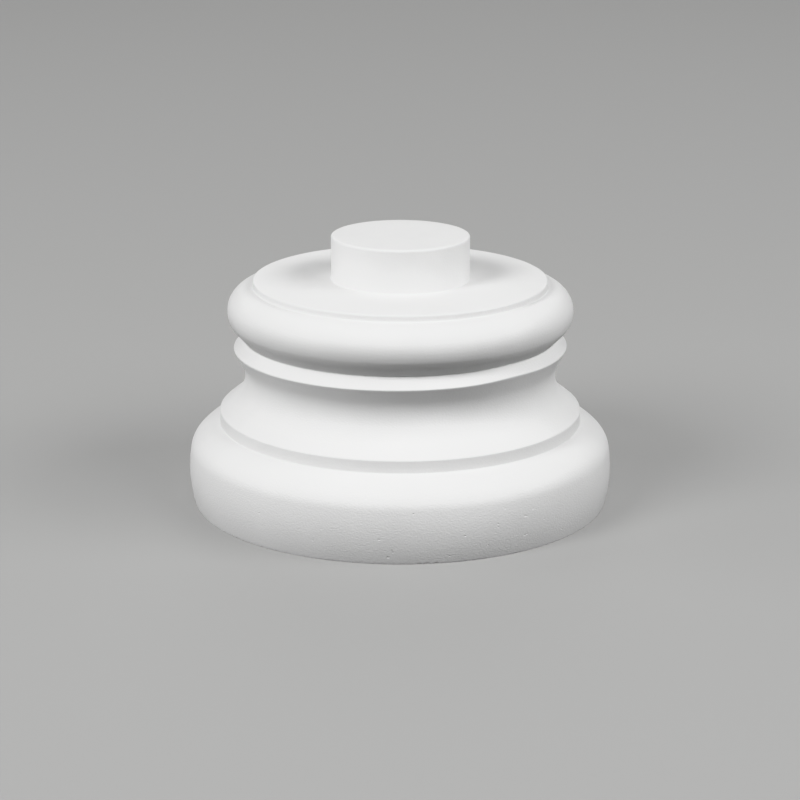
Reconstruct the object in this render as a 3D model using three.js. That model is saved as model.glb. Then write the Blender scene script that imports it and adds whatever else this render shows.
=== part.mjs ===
// Column base: a round Attic base moulded in one piece, with a spigot on top that a hollow shaft drops over.
// It is turned about +Z and stands on z = 0. Sizes are in millimetres.
import * as THREE from 'three';

const DEGREE = Math.PI / 180;

// Spigot and the flat seat that carries the shaft
const SPIGOT_RADIUS = 57;
const SPIGOT_TOP = 223;
const SEAT_RADIUS = 121.5;
const SEAT_HEIGHT = 186.5;

// Upper torus, from its lower edge over the shoulder to a flatter crown at the foot of the seat's step
const UPPER_TORUS = {
  widest: 142.6,
  height: 161.2,
  start: -33.2 * DEGREE,
  arcs: [
    { radius: 21.7, end: 0 },
    { radius: 18.6, end: 57.2 * DEGREE },
    { radius: 24.5 },
  ],
  innerRadius: SEAT_RADIUS,
};

// Soffit of the upper torus: a straight slope from the torus's lower edge in to the crease
const CREASE_RADIUS = 129.5;
const CREASE_HEIGHT = 139.6;

// Splayed upper fillet: a slope from the crease down to a narrow upright lip
const LIP_RADIUS = 137.7;
const LIP_BOTTOM = 130.3;
const LIP_TOP = 131.3;

// Scotia, the hollow between the fillets: one arc around its narrowest place, the throat, and straight flanks
const THROAT_RADIUS = 128.6;
const THROAT_HEIGHT = 106.8;
const HOLLOW_RADIUS = 26;

// Lower fillet, upright down to the crown of the lower torus
const FILLET_RADIUS = 150;
const FILLET_TOP = 77.2;

// Lower torus, a nearly upright side below a round shoulder and a flatter crown at the foot of the fillet
const SIDE_RADIUS = 105;
const LOWER_TORUS_HEIGHT = 28;
const LOWER_TORUS = {
  widest: 176,
  height: LOWER_TORUS_HEIGHT,
  start: -Math.asin(LOWER_TORUS_HEIGHT / SIDE_RADIUS),
  arcs: [
    { radius: SIDE_RADIUS, end: 8.8 * DEGREE },
    { radius: 20.3, end: 44.5 * DEGREE },
    { radius: 43.2 },
  ],
  innerRadius: FILLET_RADIUS,
};

// Fineness: how far a chord may lie inside its arc, and the number of flats around the axis
const CHORD_DEPTH = 0.12;
const FLATS = 96;

// A point of the profile is a distance from the axis and a height.
const point = (radius, height) => new THREE.Vector2(radius, height);

function pointOnArc(centre, radius, angle) {
  return point(centre.x + radius * Math.cos(angle), centre.y + radius * Math.sin(angle));
}

// The points of an arc after its first one, spaced so that the chords stay within CHORD_DEPTH.
function arcPoints(centre, radius, from, to) {
  const largestStep = 2 * Math.acos(1 - CHORD_DEPTH / radius);
  const count = Math.ceil(Math.abs(to - from) / largestStep);
  const points = [];
  for (let i = 1; i <= count; i += 1) {
    points.push(pointOnArc(centre, radius, from + (to - from) * i / count));
  }
  return points;
}

// A torus from bottom to top: arcs that run smoothly into one another, the first one with the widest point.
// Angles are those of the outward normal above the horizontal. The last arc ends at the inner radius.
function torus({ widest, height, start, arcs, innerRadius }) {
  let radius = arcs[0].radius;
  let centre = point(widest - radius, height);
  let angle = start;
  const points = [pointOnArc(centre, radius, start)];
  for (const arc of arcs) {
    centre = pointOnArc(centre, radius - arc.radius, angle);
    radius = arc.radius;
    const end = arc.end ?? Math.acos((innerRadius - centre.x) / radius);
    points.push(...arcPoints(centre, radius, angle, end));
    angle = end;
  }
  return points;
}

// The angle at which a straight flank from an edge touches the hollow's arc. The side is 1 above, -1 below.
function touchAngle(centre, edge, side) {
  const reach = edge.clone().sub(centre);
  return reach.angle() + side * Math.acos(HOLLOW_RADIUS / reach.length());
}

// The arc of the hollow from bottom to top, between the straight flanks that run out to the two edges.
function scotia(lowerEdge, upperEdge) {
  const centre = point(THROAT_RADIUS + HOLLOW_RADIUS, THROAT_HEIGHT);
  const start = touchAngle(centre, lowerEdge, -1);
  const end = touchAngle(centre, upperEdge, 1);
  return [pointOnArc(centre, HOLLOW_RADIUS, start), ...arcPoints(centre, HOLLOW_RADIUS, start, end)];
}

// The whole half-section, from the middle of the underside to the middle of the spigot's top.
function baseProfile() {
  const filletEdge = point(FILLET_RADIUS, FILLET_TOP);
  const lipEdge = point(LIP_RADIUS, LIP_BOTTOM);
  return [
    point(0, 0),
    ...torus(LOWER_TORUS),
    filletEdge,
    ...scotia(filletEdge, lipEdge),
    lipEdge,
    point(LIP_RADIUS, LIP_TOP),
    point(CREASE_RADIUS, CREASE_HEIGHT),
    ...torus(UPPER_TORUS),
    point(SEAT_RADIUS, SEAT_HEIGHT),
    point(SPIGOT_RADIUS, SEAT_HEIGHT),
    point(SPIGOT_RADIUS, SPIGOT_TOP),
    point(0, SPIGOT_TOP),
  ];
}

const geometry = new THREE.LatheGeometry(baseProfile(), FLATS);
geometry.rotateX(Math.PI / 2);

const whitePrimer = new THREE.MeshStandardMaterial({ color: 0xeeedea, roughness: 0.75, metalness: 0 });

const columnBase = new THREE.Mesh(geometry, whitePrimer);
columnBase.name = 'column_base';

const part = new THREE.Group();
part.add(columnBase);

export default part;
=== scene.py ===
"""Column base: a turned moulding with eased edges and a few faults of the casting, in matte white primer.

It stands on a plain pale floor in soft studio light, seen from the place of the photograph's camera.
"""
import math

import bmesh
import bpy
from mathutils import Matrix, Vector


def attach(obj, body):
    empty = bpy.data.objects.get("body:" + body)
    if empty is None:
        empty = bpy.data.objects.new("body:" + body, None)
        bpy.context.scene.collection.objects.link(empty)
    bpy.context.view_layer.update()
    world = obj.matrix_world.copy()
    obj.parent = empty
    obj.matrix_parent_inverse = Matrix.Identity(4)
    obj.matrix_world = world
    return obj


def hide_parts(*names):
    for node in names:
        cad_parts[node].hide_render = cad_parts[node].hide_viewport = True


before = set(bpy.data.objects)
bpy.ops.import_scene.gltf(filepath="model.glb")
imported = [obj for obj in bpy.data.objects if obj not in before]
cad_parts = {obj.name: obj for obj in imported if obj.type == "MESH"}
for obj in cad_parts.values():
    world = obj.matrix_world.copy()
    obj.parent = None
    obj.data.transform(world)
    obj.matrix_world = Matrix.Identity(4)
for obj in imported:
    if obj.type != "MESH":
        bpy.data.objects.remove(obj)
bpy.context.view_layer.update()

MM = 0.001

# Spigot and the flat seat that carries the shaft, in millimetres like all sizes of the moulding
SPIGOT_RADIUS = 57
SPIGOT_TOP = 223
SEAT_RADIUS = 121.5
SEAT_HEIGHT = 186.5

# Upper torus, from its lower edge over the shoulder to a flatter crown at the foot of the seat's step
UPPER_TORUS = {
    "widest": 142.6,
    "height": 161.2,
    "start": math.radians(-33.2),
    "arcs": [(21.7, 0.0), (18.6, math.radians(57.2)), (24.5, None)],
    "inner_radius": SEAT_RADIUS,
}

# Soffit of the upper torus: a straight slope from the torus's lower edge in to the crease
CREASE = (129.5, 139.6)

# Splayed upper fillet: a slope from the crease down to a narrow upright lip
LIP_RADIUS = 137.7
LIP_BOTTOM = 130.3
LIP_TOP = 131.3

# Scotia, the hollow between the fillets: one arc around its narrowest place, the throat, and straight flanks
THROAT = (128.6, 106.8)
HOLLOW_RADIUS = 26

# Lower fillet, upright down to the crown of the lower torus
FILLET_RADIUS = 150
FILLET_TOP = 77.2

# Lower torus, a nearly upright side below a round shoulder and a flatter crown at the foot of the fillet
SIDE_RADIUS = 105
LOWER_TORUS_HEIGHT = 28
LOWER_TORUS = {
    "widest": 176,
    "height": LOWER_TORUS_HEIGHT,
    "start": -math.asin(LOWER_TORUS_HEIGHT / SIDE_RADIUS),
    "arcs": [(SIDE_RADIUS, math.radians(8.8)), (20.3, math.radians(44.5)), (43.2, None)],
    "inner_radius": FILLET_RADIUS,
}

# Corners: the length over which each one is eased on both sides, and the steps of an eased corner
BOTTOM_EDGE_EASE = 0.4
FILLET_FOOT_EASE = 0.8
FILLET_EDGE_EASE = 0.9
LIP_EASE = 0.45
CREASE_EASE = 0.5
TORUS_EDGE_EASE = 4.0
STEP_FOOT_EASE = 1.0
SEAT_EDGE_EASE = 1.6
SPIGOT_FOOT_EASE = 0.9
SPIGOT_EDGE_EASE = 1.8
EASE_STEPS = 4

# Spacing of the mesh along the profile, and the number of flats around the axis
ARC_SPACING = 1.5
FLAT_SPACING = 6.0
LIP_SPACING = 0.5
STEP_SPACING = 1.0
SPIGOT_SPACING = 3.0
AROUND = 320

# The lip lies out of level: low on the left, high on the right and highest at a rise of its own.
# The fault fades out from the lip down to the throat and up to the torus.
LIP_TILT = 1.2
LIP_SAG = 0.45
LIP_RISE = 1.1
LIP_RISE_AZIMUTH = math.radians(41)
LIP_RISE_SPREAD = math.radians(12)
LIP_FAULT_HEIGHTS = (107, 131, 149)

# Pinholes in the side of the lower torus: azimuth in degrees, height and radius
PINHOLES = [
    (-38.9, 29.6, 0.7),
    (-22.7, 15.8, 0.7),
    (-5.3, 21.3, 0.9),
    (-3.0, 6.2, 1.1),
    (3.4, 42.3, 0.8),
    (13.0, 6.0, 0.8),
    (16.8, 22.1, 0.9),
    (23.2, 11.9, 0.7),
    (25.8, 25.9, 0.7),
    (25.8, 28.6, 0.7),
    (27.9, 40.2, 0.8),
    (36.4, 35.4, 0.8),
    (40.4, 24.4, 0.8),
    (40.9, 12.9, 0.7),
    (47.8, 9.8, 0.7),
]
PINHOLE_DEPTH_SHARE = 0.6

# Scratches in the side of the lower torus: azimuth and height of both ends
SCRATCHES = [
    ((-2.1, 12.8), (-1.8, 10.4)),
    ((33.6, 31.4), (34.4, 30.7)),
    ((34.0, 14.2), (34.8, 15.5)),
]
SCRATCH_RADIUS = 0.6
SCRATCH_DEPTH = 0.4

# Nicks in the bottom edge: azimuth of both ends
NICKS = [(4.7, 5.3), (6.5, 7.6), (9.2, 9.8)]
NICK_HEIGHT = 0.4
NICK_RADIUS = 0.8
NICK_DEPTH = 0.4

# Fine mesh around the marks: how far it reaches beyond a mark, and the cuts through each coarse edge
FINE_REACH = 2.5
FINE_CUTS = 6

# Painted shade: how dark it is in the crease, in the marks and on the spigot's top, and its reach from the
# crease
CREASE_PAINTED_SHADE = 0.5
MARK_PAINTED_SHADE = 0.25
SPIGOT_TOP_PAINTED_SHADE = 0.1
PAINTED_SHADE_REACH = 0.8

# Primer: its colours and roughness, and the scale of their patterns in lumps to the metre
PRIMER_DARK = (0.71, 0.71, 0.708, 1)
PRIMER_LIGHT = (0.73, 0.73, 0.728, 1)
MOTTLE_RANGE = (0.3, 0.7)
MOTTLE_SCALE = 25
# Colour of the painted shade in the crease, the marks and on the spigot's top
PAINTED_SHADE_COLOUR = (0.3, 0.297, 0.29, 1)
ROUGHNESS_RANGE = (0.6, 0.8)
ROUGHNESS_SCALE = 60

# Stipple of the primer: lumps to the metre, their depth, and the heights between which it fades from grainy
# on the side of the lower torus to smooth on its crown
STIPPLE_SCALE = 550
STIPPLE_FLATNESS = 1.6
STIPPLE_DEPTH = 0.35
GRAINY_BELOW = 35
GRAINY_STRENGTH = 0.7
SMOOTH_ABOVE = 60
SMOOTH_STRENGTH = 0.4

# Floor and backdrop, in metres like the lights and the camera
FLOOR_HALF = 5.0
FLOOR_COLOUR = (0.2, 0.2, 0.198, 1)
FLOOR_ROUGHNESS = 0.9
FLOOR_GLOW_COLOUR = (1, 0.998, 0.99, 1)
FLOOR_GLOW = 0.2
BACKDROP_COLOUR = (0.5, 0.5, 0.496, 1)

# Softboxes: azimuth and elevation in degrees, power in watts
LIGHT_TARGET = Vector((0, 0, 0.1))
SOFTBOX_DISTANCE = 6.0
SOFTBOX_SIZE = 3.0
SOFTBOXES = {
    "left": (-50, 35, 304),
    "left_side": (-95, 20, 82),
    "right": (50, 35, 152),
    "right_side": (80, 35, 178),
    "front_high": (0, 50, 70),
    "back": (180, 35, 50),
}

# Camera, fitted to the outline of the photograph
IMAGE_WIDTH = 800
FOCAL_PIXELS = 2411.9
SENSOR_WIDTH = 36.0
CAMERA_PLACE = (-0.0001, -1.9295, 0.6617)
CAMERA_PITCH = math.radians(16.733)
CAMERA_ROLL = math.radians(0.127)


def blend(start, end, share):
    """The point at a share of the way from start to end."""
    return tuple(a + (b - a) * share for a, b in zip(start, end))


def point_on_arc(centre, radius, angle):
    """The point of an arc at an angle above the horizontal."""
    return (centre[0] + radius * math.cos(angle), centre[1] + radius * math.sin(angle))


def arc_points(centre, radius, start, end):
    """The points of an arc after its first one."""
    count = max(2, math.ceil(abs(end - start) * radius / ARC_SPACING))
    return [point_on_arc(centre, radius, start + (end - start) * i / count) for i in range(1, count + 1)]


def straight(start, end, spacing=ARC_SPACING):
    """Evenly spaced points from start to end, with both of them."""
    count = max(2, math.ceil(math.dist(start, end) / spacing))
    return [blend(start, end, i / count) for i in range(count + 1)]


def torus(widest, height, start, arcs, inner_radius):
    """Arcs that run smoothly into one another from bottom to top, the first one with the widest point."""
    radius = arcs[0][0]
    centre = (widest - radius, height)
    angle = start
    points = [point_on_arc(centre, radius, start)]
    for arc_radius, arc_end in arcs:
        centre = point_on_arc(centre, radius - arc_radius, angle)
        radius = arc_radius
        end = math.acos((inner_radius - centre[0]) / radius) if arc_end is None else arc_end
        points += arc_points(centre, radius, angle, end)
        angle = end
    return points


def touch_angle(centre, edge, side):
    """Where a straight flank from an edge touches the hollow's arc. The side is 1 above and -1 below."""
    across = edge[0] - centre[0]
    up = edge[1] - centre[1]
    return math.atan2(up, across) % (2 * math.pi) + side * math.acos(HOLLOW_RADIUS / math.hypot(across, up))


def scotia(lower_edge, upper_edge):
    """A straight flank, the arc around the throat, and another straight flank."""
    centre = (THROAT[0] + HOLLOW_RADIUS, THROAT[1])
    start = touch_angle(centre, lower_edge, -1)
    end = touch_angle(centre, upper_edge, 1)
    hollow = arc_points(centre, HOLLOW_RADIUS, start, end)
    lower_flank = straight(lower_edge, point_on_arc(centre, HOLLOW_RADIUS, start))
    upper_flank = straight(hollow[-1], upper_edge)
    return lower_flank + hollow + upper_flank[1:]


def trim_start(points, length):
    """The stretch without its first bit of the given length."""
    for i in range(1, len(points)):
        step = math.dist(points[i - 1], points[i])
        if step > length:
            return [blend(points[i - 1], points[i], length / step)] + points[i:]
        length -= step
    raise ValueError("a stretch of the profile is shorter than its eased edges")


def eased_corner(before, corner, after):
    """Points between two stretches, on a parabola that starts and ends along them."""
    points = []
    for i in range(1, EASE_STEPS):
        share = i / EASE_STEPS
        points.append(blend(blend(before, corner, share), blend(corner, after, share), share))
    return points


def join_stretches(stretches, eases):
    """One line through all stretches, with each corner eased over the given length on both sides."""
    outline = stretches[0]
    for stretch, ease in zip(stretches[1:], eases):
        corner = stretch[0]
        outline = trim_start(outline[::-1], ease)[::-1]
        stretch = trim_start(stretch, ease)
        outline += eased_corner(outline[-1], corner, stretch[0]) + stretch
    return outline


def base_profile():
    """The half-section from the middle of the underside to the middle of the spigot's top."""
    lower = torus(**LOWER_TORUS)
    upper = torus(**UPPER_TORUS)
    fillet_edge = (FILLET_RADIUS, FILLET_TOP)
    lip_edge = (LIP_RADIUS, LIP_BOTTOM)
    lip_top = (LIP_RADIUS, LIP_TOP)
    seat_edge = (SEAT_RADIUS, SEAT_HEIGHT)
    spigot_foot = (SPIGOT_RADIUS, SEAT_HEIGHT)
    spigot_edge = (SPIGOT_RADIUS, SPIGOT_TOP)
    # Each stretch with the ease of the corner after it
    stretches_and_eases = [
        (straight((0, 0), lower[0], FLAT_SPACING), BOTTOM_EDGE_EASE),
        (lower, FILLET_FOOT_EASE),
        (straight(lower[-1], fillet_edge), FILLET_EDGE_EASE),
        (scotia(fillet_edge, lip_edge), LIP_EASE),
        (straight(lip_edge, lip_top, LIP_SPACING), LIP_EASE),
        (straight(lip_top, CREASE), CREASE_EASE),
        (straight(CREASE, upper[0]), TORUS_EDGE_EASE),
        (upper, STEP_FOOT_EASE),
        (straight(upper[-1], seat_edge, STEP_SPACING), SEAT_EDGE_EASE),
        (straight(seat_edge, spigot_foot, FLAT_SPACING), SPIGOT_FOOT_EASE),
        (straight(spigot_foot, spigot_edge, SPIGOT_SPACING), SPIGOT_EDGE_EASE),
        (straight(spigot_edge, (0, SPIGOT_TOP), FLAT_SPACING), None),
    ]
    stretches, eases = zip(*stretches_and_eases)
    return join_stretches(list(stretches), eases[:-1])


def lip_fault(azimuth, height):
    """How far the upper fillet lies above its true level."""
    low, most, high = LIP_FAULT_HEIGHTS
    share = min((height - low) / (most - low), (high - height) / (high - most))
    rise = LIP_RISE * math.exp(-((azimuth - LIP_RISE_AZIMUTH) / LIP_RISE_SPREAD) ** 2)
    return max(0, share) * (LIP_TILT * math.sin(azimuth) - LIP_SAG + rise)


def surface_point(radius, height, azimuth):
    """A point of the moulding in metres. Azimuth 0 is towards the camera and grows to the right."""
    level = height + lip_fault(azimuth, height)
    return Vector((radius * math.sin(azimuth), -radius * math.cos(azimuth), level)) * MM


def painted_shade_at(radius, height):
    """How strong the painted shade is at a place of the profile: on the spigot's top and around the crease.
    """
    if height == SPIGOT_TOP:
        return SPIGOT_TOP_PAINTED_SHADE
    return CREASE_PAINTED_SHADE * max(0.0, 1 - math.dist((radius, height), CREASE) / PAINTED_SHADE_REACH)


def turned_mesh(profile):
    """A closed mesh turned about +Z from a profile that starts and ends on the axis."""
    rings = profile[1:-1]
    verts = [surface_point(0, profile[0][1], 0)]
    for radius, height in rings:
        for i in range(AROUND):
            verts.append(surface_point(radius, height, 2 * math.pi * i / AROUND - math.pi))
    verts.append(surface_point(0, profile[-1][1], 0))
    top = len(verts) - 1
    last_ring = top - AROUND
    faces = []
    for i in range(AROUND):
        following = (i + 1) % AROUND
        faces.append((0, 1 + following, 1 + i))
        for ring in range(len(rings) - 1):
            low = 1 + ring * AROUND
            high = low + AROUND
            faces.append((low + i, low + following, high + following, high + i))
        faces.append((last_ring + i, last_ring + following, top))
    mesh = bpy.data.meshes.new("column_base_moulding")
    mesh.from_pydata(verts, [], faces)
    # Painted shade per vertex: a dark line around the crease and a darker spigot top
    painted_shade = [0.0]
    for ring in rings:
        painted_shade += [painted_shade_at(*ring)] * AROUND
    painted_shade.append(SPIGOT_TOP_PAINTED_SHADE)
    mesh.attributes.new("painted_shade", "FLOAT", "POINT").data.foreach_set("value", painted_shade)
    return mesh


def side_point(azimuth, height):
    """A point on the side of the lower torus, with the azimuth in degrees."""
    rise = height - LOWER_TORUS_HEIGHT
    radius = LOWER_TORUS["widest"] - SIDE_RADIUS + math.sqrt(SIDE_RADIUS ** 2 - rise ** 2)
    return surface_point(radius, height, math.radians(azimuth))


def marks():
    """All marks as start, end, radius and depth. A pinhole starts and ends in the same point."""
    listed = []
    for azimuth, height, radius in PINHOLES:
        place = side_point(azimuth, height)
        listed.append((place, place, radius * MM, radius * PINHOLE_DEPTH_SHARE * MM))
    for start, end in SCRATCHES:
        listed.append((side_point(*start), side_point(*end), SCRATCH_RADIUS * MM, SCRATCH_DEPTH * MM))
    for start, end in NICKS:
        ends = (side_point(start, NICK_HEIGHT), side_point(end, NICK_HEIGHT))
        listed.append((*ends, NICK_RADIUS * MM, NICK_DEPTH * MM))
    return listed


def distance_to_line(place, start, end):
    """The distance to the nearest point between start and end, which may be the same point."""
    along = end - start
    share = (place - start).dot(along) / along.length_squared if along.length_squared else 0
    return (place - start - along * min(1, max(0, share))).length


def press_marks(mesh):
    """Divides the mesh finely around each mark and presses the mark in, with painted shade at its bottom."""
    bm = bmesh.new()
    bm.from_mesh(mesh)
    painted_shade = bm.verts.layers.float["painted_shade"]
    listed = marks()
    near = set()
    for face in bm.faces:
        centre = face.calc_center_median()
        for start, end, radius, _ in listed:
            if distance_to_line(centre, start, end) < radius + FINE_REACH * MM:
                near.update(face.edges)
    # A set keeps no order, so the edges are listed in the order of the mesh, the same in every run.
    near_in_order = [edge for edge in bm.edges if edge in near]
    bmesh.ops.subdivide_edges(bm, edges=near_in_order, cuts=FINE_CUTS, use_grid_fill=True)
    bm.normal_update()
    moves = []
    for vert in bm.verts:
        for start, end, radius, depth in listed:
            reach = distance_to_line(vert.co, start, end) / radius
            if reach < 1:
                share = (1 - reach ** 2) ** 2
                # Painted shade inside the mark, strongest at its bottom
                vert[painted_shade] = max(vert[painted_shade], MARK_PAINTED_SHADE * share)
                moves.append((vert, vert.normal * depth * share))
    for vert, move in moves:
        vert.co -= move
    bm.to_mesh(mesh)
    bm.free()


def add_noise(tree, place, scale, detail, flatness=1.0):
    """A noise pattern with the scale in lumps to the metre. Its lumps are flatness times as wide as high."""
    squeeze = tree.nodes.new("ShaderNodeMapping")
    squeeze.inputs["Scale"].default_value = (1, 1, flatness)
    noise = tree.nodes.new("ShaderNodeTexNoise")
    noise.inputs["Scale"].default_value = scale
    noise.inputs["Detail"].default_value = detail
    tree.links.new(place, squeeze.inputs["Vector"])
    tree.links.new(squeeze.outputs["Vector"], noise.inputs["Vector"])
    return noise.outputs["Fac"]


def primer_material():
    """Matte white primer with a faint mottle, painted shade, a slowly changing roughness and a fine stipple.
    """
    material = bpy.data.materials.new("white_primer")
    material.use_nodes = True
    tree = material.node_tree
    shader = tree.nodes["Principled BSDF"]
    place = tree.nodes.new("ShaderNodeTexCoord").outputs["Object"]

    mottle = tree.nodes.new("ShaderNodeValToRGB")
    for stop, position, colour in zip(mottle.color_ramp.elements, MOTTLE_RANGE, (PRIMER_DARK, PRIMER_LIGHT)):
        stop.position = position
        stop.color = colour
    tree.links.new(add_noise(tree, place, MOTTLE_SCALE, detail=4), mottle.inputs["Fac"])
    # Painted shade mixed into the primer's colour: the crease, the marks and the spigot's top
    painted_shade = tree.nodes.new("ShaderNodeAttribute")
    painted_shade.attribute_name = "painted_shade"
    with_painted_shade = tree.nodes.new("ShaderNodeMixRGB")
    with_painted_shade.inputs["Color2"].default_value = PAINTED_SHADE_COLOUR
    tree.links.new(painted_shade.outputs["Fac"], with_painted_shade.inputs["Fac"])
    tree.links.new(mottle.outputs["Color"], with_painted_shade.inputs["Color1"])
    tree.links.new(with_painted_shade.outputs["Color"], shader.inputs["Base Color"])

    roughness = tree.nodes.new("ShaderNodeMapRange")
    roughness.inputs["To Min"].default_value = ROUGHNESS_RANGE[0]
    roughness.inputs["To Max"].default_value = ROUGHNESS_RANGE[1]
    tree.links.new(add_noise(tree, place, ROUGHNESS_SCALE, detail=2), roughness.inputs["Value"])
    tree.links.new(roughness.outputs["Result"], shader.inputs["Roughness"])

    split = tree.nodes.new("ShaderNodeSeparateXYZ")
    tree.links.new(place, split.inputs["Vector"])
    grain = tree.nodes.new("ShaderNodeMapRange")
    grain.inputs["From Min"].default_value = GRAINY_BELOW * MM
    grain.inputs["From Max"].default_value = SMOOTH_ABOVE * MM
    grain.inputs["To Min"].default_value = GRAINY_STRENGTH
    grain.inputs["To Max"].default_value = SMOOTH_STRENGTH
    tree.links.new(split.outputs["Z"], grain.inputs["Value"])
    stipple = tree.nodes.new("ShaderNodeBump")
    stipple.inputs["Distance"].default_value = STIPPLE_DEPTH * MM
    lumps = add_noise(tree, place, STIPPLE_SCALE, detail=2, flatness=STIPPLE_FLATNESS)
    tree.links.new(grain.outputs["Result"], stipple.inputs["Strength"])
    tree.links.new(lumps, stipple.inputs["Height"])
    tree.links.new(stipple.outputs["Normal"], shader.inputs["Normal"])
    return material


def add_softbox(name, azimuth, elevation, watts):
    """A round softbox aimed at the object. Azimuth 0 is towards the camera and grows to the right."""
    around = math.radians(azimuth)
    up = math.radians(elevation)
    direction = Vector((math.sin(around) * math.cos(up), -math.cos(around) * math.cos(up), math.sin(up)))
    light = bpy.data.lights.new(name, "AREA")
    light.shape = "DISK"
    light.size = SOFTBOX_SIZE
    light.energy = watts
    lamp = bpy.data.objects.new(name, light)
    lamp.location = LIGHT_TARGET + direction * SOFTBOX_DISTANCE
    lamp.rotation_euler = (-direction).to_track_quat("-Z", "Y").to_euler()
    bpy.context.collection.objects.link(lamp)


def add_camera():
    """The photograph's camera, which looks down by its pitch and turns about its own axis by its roll."""
    camera = bpy.data.cameras.new("camera")
    camera.sensor_width = SENSOR_WIDTH
    camera.lens = SENSOR_WIDTH * FOCAL_PIXELS / IMAGE_WIDTH
    viewer = bpy.data.objects.new("camera", camera)
    tilt = Matrix.Rotation(math.pi / 2 - CAMERA_PITCH, 4, "X")
    roll = Matrix.Rotation(CAMERA_ROLL, 4, "Z")
    viewer.matrix_world = Matrix.Translation(CAMERA_PLACE) @ tilt @ roll
    bpy.context.collection.objects.link(viewer)
    bpy.context.scene.camera = viewer


def add_floor():
    """A plain floor that sends no light back to the object, as the photograph shows none."""
    mesh = bpy.data.meshes.new("floor")
    corners = [(x * FLOOR_HALF, y * FLOOR_HALF, 0) for x, y in ((-1, -1), (1, -1), (1, 1), (-1, 1))]
    mesh.from_pydata(corners, [], [(0, 1, 2, 3)])
    material = bpy.data.materials.new("floor")
    material.use_nodes = True
    shader = material.node_tree.nodes["Principled BSDF"]
    shader.inputs["Base Color"].default_value = FLOOR_COLOUR
    shader.inputs["Roughness"].default_value = FLOOR_ROUGHNESS
    shader.inputs["Emission Color"].default_value = FLOOR_GLOW_COLOUR
    shader.inputs["Emission Strength"].default_value = FLOOR_GLOW
    mesh.materials.append(material)
    floor = bpy.data.objects.new("floor", mesh)
    bpy.context.collection.objects.link(floor)
    floor.visible_diffuse = False


def set_backdrop():
    """A plain pale grey beyond the floor that only the camera sees."""
    world = bpy.data.worlds.new("backdrop")
    bpy.context.scene.world = world
    world.use_nodes = True
    background = world.node_tree.nodes["Background"]
    background.inputs["Color"].default_value = BACKDROP_COLOUR
    world.cycles_visibility.diffuse = False
    world.cycles_visibility.glossy = False


mesh = turned_mesh(base_profile())
press_marks(mesh)
mesh.shade_smooth()
mesh.materials.append(primer_material())
moulding = bpy.data.objects.new("column_base_moulding", mesh)
bpy.context.collection.objects.link(moulding)
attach(moulding, "root")
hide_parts("column_base")

add_camera()
add_floor()
set_backdrop()
for name, placing in SOFTBOXES.items():
    add_softbox(name, *placing)

bpy.context.scene.view_settings.view_transform = "Khronos PBR Neutral"
